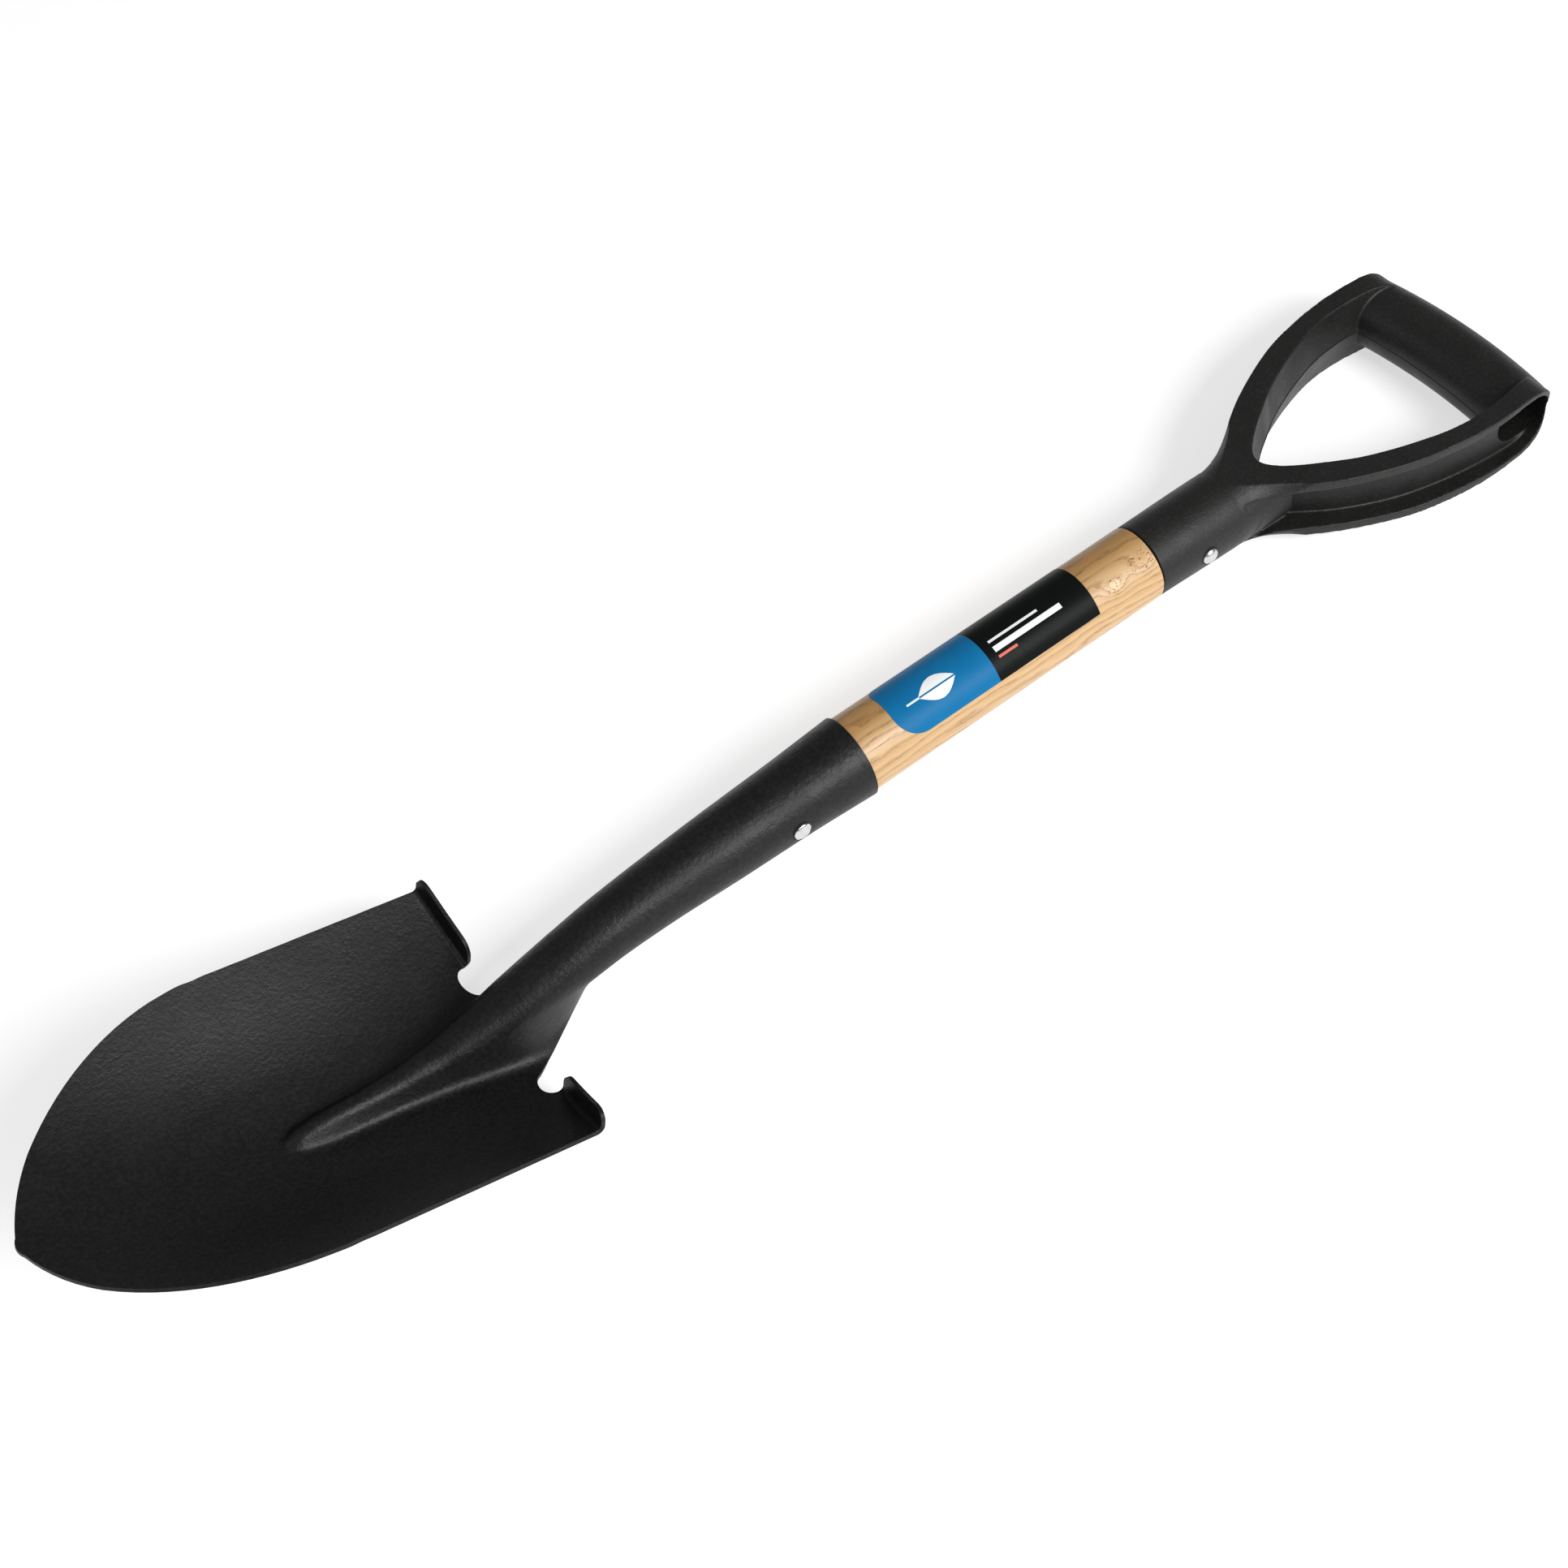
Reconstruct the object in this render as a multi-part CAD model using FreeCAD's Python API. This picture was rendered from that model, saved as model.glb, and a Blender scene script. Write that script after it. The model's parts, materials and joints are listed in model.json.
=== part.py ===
import FreeCAD, Part
import math
import os

os.makedirs("parts", exist_ok=True)

V = FreeCAD.Vector
V2 = FreeCAD.Base.Vector2d

# Mini round point shovel with a D-grip, all lengths in millimetres.
# Working frame while modelling: X runs along the shaft from the blade towards the grip,
# X = 0 is the mouth of the socket, Y is across the blade and Z points out of its front.
# The finished parts are then laid on their back on the ground (see the end of the file).

# Driving dimensions
SHEET = 1.5                  # thickness of the pressed steel
SHAFT_R = 16.0               # ash shaft
GRIP_MOUTH_X = 144.0         # where the shaft disappears into the grip collar
PAN_SLOPE = 0.375            # rise of the blade per mm towards its tip
PAN_DISH = 0.0054            # dish of the blade, rise per mm squared off the middle
PAN_SAG = 8.0                # further sag of its middle, between the tip and the treads
TIP_X = -338.6
TIP_Z = 36.2
NECK_X = -162.2              # line where the neck joins the blade
TREAD_X = -161.7             # bend line of the two treads
TREAD_IN_Y = 33.6
TREAD_OUT_Y = 64.4
TREAD_HEIGHT = 11.0
TREAD_BEND_R = 2.0
TREAD_ANGLE = math.radians(94)
BLADE_HALF = 62.8            # half width of the blade at its widest point of the round
SEAM_HALF = 0.6              # half of the open seam along the back of the socket
SOCKET_RIVET_X = -34.0
GRIP_RIVET_X = 167.8
SHANK_R = 2.25
HOLE_R = 2.3
TENON_R = 12.6               # reduced end of the shaft inside the grip collar
TENON_END_X = 190.0
GRIP_TILT_DEG = 1.35
BAR_X = 316.9                # middle of the crossbar
BAR_R = 14.4
BAR_HALF = 42.0              # it runs this far to each side, into the arms
BAR_WALL = 2.0
BAR_BOW = 0.00195            # bow of the crossbar, mm back per mm squared off the middle
ARM_HALF = 50.0              # a little more than the half width of the grip
OPENING_INSET = 3.2          # how much narrower the hand opening is at mid height, each side
OPENING_DRAFT = 0.2          # taper of its walls from there, per mm up or down
BOSS_R = 16.3                # the collar runs on between the flanges of the arms
BOSS_END_X = 212.0
LABEL_X = 17.0
LABEL_LENGTH = 95.0
LABEL_HALF_DEG = 64.0        # how far the label wraps down each side of the shaft
LABEL_FILM = 0.12
LABEL_GLUE = 0.02
LABEL_CORNER_R = 11.5        # its two corners at the blade end
FIT = 0.15                   # gap between the shaft and what it is driven into
TENON_LAP = 0.5              # gap between the shaft's shoulder and the rim of the collar
THROUGH = 30.0               # half length of a cutter that passes right through the shaft
WIDE = 80.0                  # the same for the whole width of the shovel
PLUG_X = -104.0              # end of the taper inside the socket
PLUG_NOSE = 3.0              # length of the chamfer beyond it
RIB_END_X = -252.0           # where the rib has died out on the blade
TUBE_X = -112.0              # from here to the mouth the socket is a closed tube

PAN_TILT = math.atan(PAN_SLOPE)


def smooth(stations, x):
    """Monotone cubic curve through (x, value) stations in rising x."""
    xs = [p[0] for p in stations]
    vs = [p[1] for p in stations]
    if x <= xs[0]:
        return vs[0]
    if x >= xs[-1]:
        return vs[-1]
    step = [xs[i + 1] - xs[i] for i in range(len(xs) - 1)]
    slope = [(vs[i + 1] - vs[i]) / step[i] for i in range(len(step))]
    tan = [slope[0]]
    for i in range(1, len(slope)):
        if slope[i - 1] * slope[i] <= 0:
            tan.append(0.0)
        else:
            wa = 2 * step[i] + step[i - 1]
            wb = step[i] + 2 * step[i - 1]
            tan.append((wa + wb) / (wa / slope[i - 1] + wb / slope[i]))
    tan.append(slope[-1])
    k = max(i for i in range(len(step)) if xs[i] <= x)
    t = (x - xs[k]) / step[k]
    h00 = (1 + 2 * t) * (1 - t) ** 2
    h10 = t * (1 - t) ** 2
    h01 = t * t * (3 - 2 * t)
    h11 = t * t * (t - 1)
    return h00 * vs[k] + h10 * step[k] * tan[k] + h01 * vs[k + 1] + h11 * step[k] * tan[k + 1]


# Outer radius of the socket, running on as the crown radius of the rib on the blade
CROWN_R = [(RIB_END_X, 4.2), (-235, 4.3), (-218, 4.9), (-204, 6.0), (-192, 7.2), (-182, 8.4),
           (-166, 10.2), (-158, 11.0), (-144, 11.5), (-126, 12.0), (-112, 12.4), (-90, 13.2),
           (-60, 14.6), (-30, 15.6), (0, 17.2)]
# Height of the ridge line: neck first, then the rib dying out on the blade
RIDGE_Z = [(RIB_END_X, -4.26), (-247, -2.4), (-240, -2.3), (-230, -3.6), (-218, -5.7), (-204, -7.2),
           (-192, -7.2), (-182, -6.1), (-166, -3.3), (-158, -1.5), (-144, 2.0), (-126, 6.2),
           (-112, 8.8), (-90, 11.2), (-60, 13.4), (-30, 15.1), (0, 17.2)]
# Steepest angle of the flank: a closed tube at the socket, an open rib on the blade
FLANK_DEG = [(RIB_END_X, 30), (-247, 44), (-240, 54), (-230, 60), (-218, 65), (-204, 69), (-192, 72),
             (-182, 74), (-166, 78), (-158, 82), (-144, 96), (-126, 128), (TUBE_X, 180)]
# Radius at the foot of the flank
FOOT_R = [(RIB_END_X, 5), (-235, 4.4), (-218, 4.6), (-182, 5.5), (-166, 6.5), (-158, 8), (-144, 10)]
# How far the sheet reaches down each side of the neck, measured round the section
SKIRT = [(NECK_X, 39.3), (-158, 38.6), (-144, 38.0), (-126, 38.1), (TUBE_X, 38.35)]
# Share of the blade's dish that is already present in the section
DISH = [(-158, 1.0), (-126, 0.0)]


# D-grip in plan: outside of the arms, upper edge of the hand opening, outside of the arms' web
GRIP_OUTER = [(186, 15.0), (196, 16.2), (204, 18.6), (215, 24.9), (225, 30.9), (235, 35.8), (245, 40.0),
              (255, 43.4), (265, 45.7), (275, 47.4), (285, 48.5), (295, 48.9), (304.8, 48.5),
              (313, 48.1), (319, 47.5), (323, 46.6), (325.6, 45.0), (326.9, 43.0), (328.3, 38.0)]
GRIP_INNER = [(206.5, 0), (207.4, 3.6), (209.6, 6.6), (213.4, 10.0), (219.6, 14.7), (227.7, 19.8),
              (235.8, 24.8), (244.5, 29.0), (253.6, 32.7), (263.4, 36.0), (274.5, 38.9),
              (287.5, 40.3), (296, 40.2), (303, 39.6), (312, 38.4), (340, 38.2)]
GRIP_WEB = [(200, 2.0), (208, 8.2), (215, 13.4), (225, 20.8), (235, 26.6), (245, 31.2), (255, 34.9),
            (265, 37.6), (275, 39.7), (285, 41.1), (295, 41.9), (305, 42.2), (332, 42.2)]
# D-grip from the side: half height of the arms, and of the channel along the outside of each arm
GRIP_SIDE = [(186, 16.3), (196, 15.6), (204, 15.0), (213, 14.9), (235, 15.4), (255, 16.2), (275, 16.7),
             (300, 17.0), (311, 16.8), (317, 15.4), (321.2, 12.6), (324.5, 8.4), (326.5, 3.3), (326.9, 0)]
CHANNEL_SIDE = [(188, 11.2), (200, 10.8), (213, 10.6), (235, 11.1), (255, 11.9), (275, 12.4),
                (295, 13.5), (305, 14.2), (311, 14.2), (316, 13.2), (320, 10.4), (322.9, 6.6),
                (324.3, 2.5), (324.5, 0)]
# Round outlines about the shaft axis: the collar, and the limit that rounds off the shoulders
COLLAR = [(GRIP_MOUTH_X, 15.9), (160, 16.15), (178, 16.4), (188, 16.3), (198, 15.0), (205, 12.6)]
GRIP_ENVELOPE = [(186, 16.3), (194, 17.6), (202, 20.3), (210, 25.0), (220, 36.0), (232, 66.0)]


def sag(x, y):
    """Depth of the blade's long hollow: nothing at its edges, its tip and its tread line."""
    t = (x - TIP_X) / (TREAD_X - TIP_X)
    if not 0 < t < 1:
        return 0.0
    edge = BLADE_HALF * math.sqrt(math.sin(math.pi * min(t, 0.5)))
    share = min(1.0, abs(y) / edge)
    return PAN_SAG * (4 * t * (1 - t)) ** 2 * (1 - share ** 2) ** 2


def pan_z(x, y):
    return TIP_Z - PAN_SLOPE * (x - TIP_X) + PAN_DISH * y * y - sag(x, y)


def section(x):
    """Crown radius, flank angle, flank length and foot radius of the section at x."""
    r = smooth(CROWN_R, x)
    foot = smooth(FOOT_R, x)
    angle = math.radians(smooth(FLANK_DEG, x))
    height = 0.0
    if x > RIB_END_X:
        height = smooth(RIDGE_Z, x) - pan_z(x, 0)
    reach = (r + foot) * (1 - math.cos(angle))
    if reach > height:
        angle = math.acos(1 - height / (r + foot))
        return r, angle, 0.0, foot, height
    flank = 60.0
    if math.sin(angle) > 0.3:
        flank = (height - reach) / math.sin(angle)
    return r, angle, flank, foot, height


def excess(x):
    """Extra sheet taken up by the rib on one side, compared with a flat section."""
    r, angle, flank, foot, _ = section(x)
    return (r + foot) * (angle - math.sin(angle)) + flank * (1 - math.cos(angle))


def front(x, s):
    """Point on the front face at x, s millimetres round the section from the ridge."""
    r, angle, flank, foot, height = section(x)
    side = 1.0 if s >= 0 else -1.0
    s = abs(s)
    crown = min(s, r * angle) / r
    y = r * math.sin(crown)
    drop = r * (1 - math.cos(crown))
    s -= r * angle
    if s > 0:
        run = min(s, flank)
        y += run * math.cos(angle)
        drop += run * math.sin(angle)
        s -= flank
    if s > 0:
        turn = min(s / foot, angle)
        y += foot * (math.sin(angle) - math.sin(angle - turn))
        drop += foot * (math.cos(angle - turn) - math.cos(angle))
        s -= foot * angle
    if s > 0:
        y += s
    z = pan_z(x, 0) + height - drop + PAN_DISH * smooth(DISH, x) * y * y + sag(x, 0) - sag(x, y)
    return V(x, side * y, z)


def tread(w, y):
    """Point on the front face of a tread at y, w millimetres past its bend line."""
    pan = V(math.cos(PAN_TILT), 0, -math.sin(PAN_TILT))
    up = V(math.sin(PAN_TILT), 0, math.cos(PAN_TILT))
    turn = min(w / TREAD_BEND_R, TREAD_ANGLE)
    p = V(TREAD_X, y, pan_z(TREAD_X, y))
    p += pan * (TREAD_BEND_R * math.sin(turn)) + up * (TREAD_BEND_R * (1 - math.cos(turn)))
    rest = w - TREAD_BEND_R * TREAD_ANGLE
    if rest > 0:
        p += pan * (rest * math.cos(TREAD_ANGLE)) + up * (rest * math.sin(TREAD_ANGLE))
    return p


def normal(fn, a, b):
    """Unit normal of fn(a, b), always out of the front of the sheet."""
    e = 0.05
    da = fn(a + e, b) - fn(a - e, b)
    db = fn(a, b + e) - fn(a, b - e)
    return da.cross(db).normalize()


def back(fn, a, b):
    return fn(a, b) - normal(fn, a, b) * SHEET


def surface(point, rows, columns):
    grid = [[point(a, b) for b in columns(a)] for a in rows]
    s = Part.BSplineSurface()
    s.interpolate(grid)
    return s


def span(a, b, count):
    return [a + (b - a) * i / count for i in range(count + 1)]


def trace(surf, points):
    """Edge lying on a surface and passing through the given points."""
    uv = [V2(*surf.parameter(p)) for p in points]
    if len(uv) == 2:
        curve = Part.Geom2d.Line2dSegment(uv[0], uv[1])
    else:
        curve = Part.Geom2d.BSplineCurve2d()
        curve.interpolate(uv)
    return curve.toShape(surf)


def sheet(fn, rows, columns, outline):
    """Closed solid of sheet, its front face following fn inside a closed outline.

    outline is a run of sides, each a list of (a, b) positions on the sheet.
    """
    top = surface(fn, rows, columns)
    under = surface(lambda a, b: back(fn, a, b), rows, columns)
    top_edges = [trace(top, [fn(a, b) for a, b in side]) for side in outline]
    under_edges = [trace(under, [back(fn, a, b) for a, b in side]) for side in outline]
    faces = [Part.Face(top, Part.Wire(top_edges)), Part.Face(under, Part.Wire(under_edges))]
    for upper, lower in zip(top_edges, under_edges):
        faces.append(Part.makeRuledSurface(upper, lower, 1))
    return closed(faces)


def closed(faces):
    skin = Part.Compound(faces)
    skin.sewShape()
    body = Part.Solid(skin.Shells[0])
    if body.Volume < 0:
        body.reverse()
    return body


# Outline of the blade

def on_blade(back_from_tip, y):
    """Position on the blade from the distance back from the tip, along the blade, and y."""
    lean = PAN_DISH * math.cos(PAN_TILT) * y * y * math.sin(PAN_TILT)
    x = TIP_X + back_from_tip * math.cos(PAN_TILT) + lean
    return x, y + excess(x)


def arc(start, middle, end, count):
    """Positions along the circular arc through three (distance, y) points."""
    curve = Part.Arc(V(*start, 0), V(*middle, 0), V(*end, 0))
    return [(p.x, p.y) for p in curve.toShape().discretize(count + 1)]


def blade_edge():
    """The edge of one half of the blade, from the tread to the tip."""
    side = [(181.9 - i * 87.7 / 12, TREAD_OUT_Y - (TREAD_OUT_Y - BLADE_HALF) * i / 12)
            for i in range(13)]
    round_ = arc((94.2, BLADE_HALF), (48.8, 52.9), (16.5, 29.8), 14)
    point = arc((16.5, 29.8), (7.2, 16.9), (1.2, 3.6), 6)
    return side, round_, point


def mirrored(side):
    return [(a, -b) for a, b in reversed(side)]


def blade_outline():
    join_half = smooth(SKIRT, NECK_X)
    join = [(NECK_X, s) for s in neck_columns(NECK_X)]
    notch_xy = [(NECK_X, join_half - excess(NECK_X)), (-164.6, 23.4), (-165.9, 27.6), (-164.9, 31.6),
                (TREAD_X, TREAD_IN_Y)]
    notch = [(x, y + excess(x)) for x, y in notch_xy]
    bend = [(TREAD_X, y + excess(TREAD_X)) for y in span(TREAD_IN_Y, TREAD_OUT_Y, 12)]
    side, round_, point = blade_edge()
    side = [on_blade(*p) for p in side]
    side[0] = bend[-1]
    round_ = [on_blade(*p) for p in round_]
    point = [on_blade(*p) for p in point]
    round_[0] = side[-1]
    point[0] = round_[-1]
    nose = [on_blade(*p) for p in arc((1.2, 3.6), (0.0, 0.0), (1.2, -3.6), 6)]
    nose[0] = point[-1]
    nose[-1] = mirrored(point)[0]
    half = [notch, bend, side, round_, point]
    return [join] + half + [nose] + [mirrored(run) for run in reversed(half)]


def reach(x):
    """How far the sheet of the neck and socket reaches round from the ridge."""
    if x < TUBE_X:
        return smooth(SKIRT, x)
    return math.pi * smooth(CROWN_R, x) - SEAM_HALF


def neck_columns(x):
    return [reach(x) * t for t in span(-1, 1, 60)]


def blade():
    middle = neck_columns(NECK_X)
    side = span(middle[-1], 94, 18)[1:]
    columns = [-s for s in reversed(side)] + middle + side
    rows = span(-346, NECK_X, 46) + [-160.2, -158.2]
    return sheet(front, rows, lambda x: columns, blade_outline())


def neck():
    rows = span(NECK_X, 0, 40)
    top = surface(front, rows, neck_columns)
    under = surface(lambda x, s: back(front, x, s), rows, neck_columns)
    faces = [top.toShape(), under.toShape()]
    for edge in (lambda f: f.uIso(0), lambda f: f.uIso(1), lambda f: f.vIso(0), lambda f: f.vIso(1)):
        faces.append(Part.makeRuledSurface(edge(top).toShape(), edge(under).toShape(), 1))
    return closed(faces)


def tread_plate(sign):
    high = TREAD_HEIGHT
    inner = TREAD_IN_Y
    outer = TREAD_OUT_Y
    start = TREAD_BEND_R * TREAD_ANGLE
    rows = span(0, start, 6) + span(start, high + 1, 6)[1:]
    columns = [sign * y for y in span(inner, outer, 16)]
    columns.sort()
    big = 7.0
    small = 5.0
    cut = 1 - math.sqrt(0.5)
    outer_round = arc((high - big, outer), (high - cut * big, outer - cut * big), (high, outer - big), 6)
    inner_round = arc((high, inner + small), (high - cut * small, inner + cut * small),
                      (high - small, inner), 6)
    outline = [[(0, y) for y in span(inner, outer, 12)],
               [(w, outer) for w in span(0, high - big, 6)],
               outer_round,
               [(high, y) for y in span(outer - big, inner + small, 10)],
               inner_round,
               [(w, inner) for w in span(high - small, 0, 6)]]
    outline = [[(w, sign * y) for w, y in side] for side in outline]
    return sheet(tread, rows, lambda w: columns, outline)


def along(x0, x1, radius):
    """Cylinder on the shaft axis."""
    return Part.makeCylinder(radius, x1 - x0, V(x0, 0, 0), V(1, 0, 0))


def across(x, z, radius, half):
    """Cylinder lying across the shovel, from -half to +half."""
    return Part.makeCylinder(radius, 2 * half, V(x, -half, z), V(0, 1, 0))


def head():
    """The pressed head, one piece of sheet: blade, rib, neck, open-backed socket and treads."""
    socket = neck().cut(across(SOCKET_RIVET_X, socket_axis(SOCKET_RIVET_X), HOLE_R, THROUGH))
    return blade().fuse([socket, tread_plate(1), tread_plate(-1)], 0.01).removeSplitter().Solids[0]


# Ash shaft

def socket_axis(x):
    """Height of the centre of the socket at x."""
    return smooth(RIDGE_Z, x) - smooth(CROWN_R, x)


def disc(x, z, radius):
    return Part.Wire(Part.Circle(V(x, 0, z), V(1, 0, 0), radius).toShape())


def shaft():
    """Round shaft with a tapered plug in the socket and a turned-down tenon in the grip."""
    plug = [disc(x, socket_axis(x), plug_r(x)) for x in span(PLUG_X, 0, 7)]
    body = Part.makeLoft(plug, True, False)
    tip = disc(PLUG_X - PLUG_NOSE, socket_axis(PLUG_X), plug_r(PLUG_X) - PLUG_NOSE / 2)
    body = body.fuse(Part.makeLoft([tip, plug[0]], True))
    body = body.fuse(along(0, FIT, plug_r(0)))
    body = body.fuse(along(FIT, GRIP_MOUTH_X - TENON_LAP, SHAFT_R))
    body = body.cut(across(SOCKET_RIVET_X, socket_axis(SOCKET_RIVET_X), HOLE_R, THROUGH))
    tenon = along(GRIP_MOUTH_X - 2 * TENON_LAP, TENON_END_X, TENON_R)
    tenon = tenon.cut(across(GRIP_RIVET_X, 0, HOLE_R, THROUGH))
    return body.fuse(tilted(tenon)).removeSplitter()


def plug_r(x):
    return smooth(CROWN_R, x) - SHEET - FIT


def tilted(shape):
    """The grip and its tenon sit about a degree off the line of the shaft."""
    return shape.rotated(V(GRIP_MOUTH_X, 0, 0), V(0, 1, 0), GRIP_TILT_DEG)


# D-grip: all of it moulded in one piece

def curve(points):
    line = Part.BSplineCurve()
    line.interpolate([V(x, y, 0) for x, y in points])
    return line.toShape()


def plan_wire(points):
    """Closed outline in plan: a curve on +Y, its mirror image and a line across each open end."""
    ends = [Part.makeLine(V(x, y, 0), V(x, -y, 0)) for x, y in (points[0], points[-1]) if y > 0]
    sides = [curve(points), curve([(x, -y) for x, y in points])]
    return Part.Wire(Part.__sortEdges__(sides + ends))


def plan_body(points, depth):
    face = Part.Face(plan_wire(points))
    face.translate(V(0, 0, -depth))
    return face.extrude(V(0, 0, 2 * depth))


def side_body(points, half):
    """Body seen from the side: a curve above and its mirror image below, run along Y."""
    outline = curve(points + [(x, -z) for x, z in reversed(points[:-1])])
    x0, z0 = points[0]
    face = Part.Face(Part.Wire([outline, Part.makeLine(V(x0, -z0, 0), V(x0, z0, 0))]))
    face.rotate(V(0, 0, 0), V(1, 0, 0), 90)
    face.translate(V(0, half, 0))
    return face.extrude(V(0, -2 * half, 0))


def turned(points, axis_x0, axis_x1):
    """Body of revolution about the shaft axis from an (x, radius) profile."""
    upper = curve(points)
    last = points[-1]
    first = points[0]
    edges = [upper, Part.makeLine(V(first[0], first[1], 0), V(axis_x0, 0, 0)),
             Part.makeLine(V(axis_x0, 0, 0), V(axis_x1, 0, 0)),
             Part.makeLine(V(axis_x1, 0, 0), V(last[0], last[1], 0))]
    face = Part.Face(Part.Wire(Part.__sortEdges__(edges)))
    return face.revolve(V(0, 0, 0), V(1, 0, 0), 360)


def bar(radius, half):
    """Bowed round bar across the grip: the crossbar, or the hollow inside it."""
    rings = []
    for y in [half * t for t in span(-1, 1, 8)]:
        centre = V(BAR_X - BAR_BOW * y * y, y, 0)
        rings.append(Part.Wire(Part.Circle(centre, V(0, 1, 0), radius).toShape()))
    return Part.makeLoft(rings, True, False)


def offset(points, amount):
    """Points of a plan curve moved sideways towards the middle by amount."""
    moved = []
    for i, (x, y) in enumerate(points):
        after = V(*points[min(i + 1, len(points) - 1)], 0)
        before = V(*points[max(i - 1, 0)], 0)
        if y == 0:
            before = V(after.x, -after.y, 0)
        run = (after - before).normalize()
        moved.append((x + run.y * amount, y - run.x * amount))
    return moved


def hand_opening():
    """Cutter for the hand opening, narrowest at mid height where the halves of the mould meet."""
    outlines = []
    for z in (-THROUGH, 0, THROUGH):
        outline = plan_wire(offset(GRIP_INNER, OPENING_INSET - OPENING_DRAFT * abs(z)))
        outline.translate(V(0, 0, z))
        outlines.append(outline)
    return Part.makeLoft(outlines, True, True)


def grip():
    hull = plan_body(GRIP_OUTER, THROUGH).common(side_body(GRIP_SIDE, ARM_HALF))
    shoulder = GRIP_ENVELOPE[-1][0]
    limit = turned(GRIP_ENVELOPE, GRIP_ENVELOPE[0][0], shoulder)
    hull = hull.common(limit.fuse(along(shoulder, shoulder + 120, WIDE)))
    opening = hand_opening()
    channel = side_body(CHANNEL_SIDE, ARM_HALF).cut(plan_body(GRIP_WEB, THROUGH))
    channel = channel.cut(along(GRIP_MOUTH_X, BOSS_END_X, BOSS_R))
    collar = turned(COLLAR, COLLAR[0][0], COLLAR[-1][0])
    body = hull.cut(channel).cut(opening).fuse([collar.cut(opening), bar(BAR_R, BAR_HALF)])
    body = body.cut(bar(BAR_R - BAR_WALL, ARM_HALF))
    body = body.cut(along(GRIP_MOUTH_X - 1, TENON_END_X + TENON_LAP, TENON_R + FIT))
    body = body.cut(across(GRIP_RIVET_X, 0, HOLE_R, THROUGH))
    return tilted(body.removeSplitter())


# Rivets and label

def rivet(x, z, surface_y, head_r, head_h):
    """Round rivet through the shaft with a domed head on each side."""
    ball = (head_r ** 2 + head_h ** 2) / (2 * head_h)
    sunk = 1.5
    shape = across(x, z, SHANK_R, surface_y)
    for side in (1, -1):
        centre_y = side * (surface_y + head_h - ball)
        dome = Part.makeSphere(ball, V(x, centre_y, z))
        seat = V(x, side * (surface_y - sunk), z)
        shape = shape.fuse(dome.common(Part.makeCylinder(head_r, head_h + sunk, seat, V(0, side, 0))))
    return shape.removeSplitter()


def label():
    """Printed film wrapped round the upper side of the shaft, rounded off at its blade end."""
    skin = SHAFT_R + LABEL_GLUE
    end = LABEL_X + LABEL_LENGTH
    wrap = skin * math.radians(LABEL_HALF_DEG)
    corner = []
    for turn in span(0, math.pi / 2, 6):
        x = LABEL_X + LABEL_CORNER_R * (1 - math.sin(turn))
        s = wrap - LABEL_CORNER_R * (1 - math.cos(turn))
        corner.append((x, skin * math.sin(s / skin)))
    half = corner[0][1]
    outline = [curve(corner), curve([(x, -y) for x, y in corner])]
    across_end = Part.makePolygon([V(corner[0][0], half, 0), V(end, half, 0), V(end, -half, 0),
                                   V(corner[0][0], -half, 0)])
    outline += across_end.Edges
    outline.append(Part.makeLine(V(*corner[-1], 0), V(corner[-1][0], -corner[-1][1], 0)))
    stencil = Part.Face(Part.Wire(Part.__sortEdges__(outline))).extrude(V(0, 0, SHAFT_R + 1))
    film = along(LABEL_X, end, skin + LABEL_FILM).cut(along(LABEL_X, end, skin))
    return film.common(stencil)


def low_point(points, degrees):
    turn = math.radians(degrees)
    return min(p.z * math.cos(turn) - p.x * math.sin(turn) for p in points)


def resting_angle(a, b):
    """Nose-up angle at which parts a and b touch the ground together."""
    low = 0.0
    high = 6.0
    for _ in range(20):
        middle = (low + high) / 2
        if low_point(a, middle) < low_point(b, middle):
            low = middle
        else:
            high = middle
    return low


steel = head()
moulding = grip()
wood = shaft()
socket_side = smooth(CROWN_R, SOCKET_RIVET_X)
collar_side = smooth(COLLAR, GRIP_RIVET_X)
socket_rivet = rivet(SOCKET_RIVET_X, socket_axis(SOCKET_RIVET_X), socket_side, 3.9, 1.4)
grip_rivet = tilted(rivet(GRIP_RIVET_X, 0, collar_side, 3.7, 1.9))
parts = {
    "head": steel,
    "shaft": wood,
    "d_grip": moulding,
    "socket_rivet": socket_rivet.cut(steel),
    "grip_rivet": grip_rivet.cut(moulding),
    "label": label(),
}

# Lay the shovel on its back: heel of the blade and back of the grip on the ground, Z = 0
angle = resting_angle(steel.tessellate(0.1)[0], moulding.tessellate(0.1)[0])
whole = Part.Compound([shape.rotated(V(0, 0, 0), V(0, 1, 0), angle) for shape in parts.values()])
box = whole.optimalBoundingBox()
home = V(-(box.XMin + box.XMax) / 2, -(box.YMin + box.YMax) / 2, -box.ZMin)
for name, shape in parts.items():
    shape = shape.rotated(V(0, 0, 0), V(0, 1, 0), angle)
    shape.translate(home)
    shape.exportStep("parts/" + name + ".step")
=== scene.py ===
import json
import math

import bmesh
import bpy
from mathutils import Matrix, Vector, noise


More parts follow.
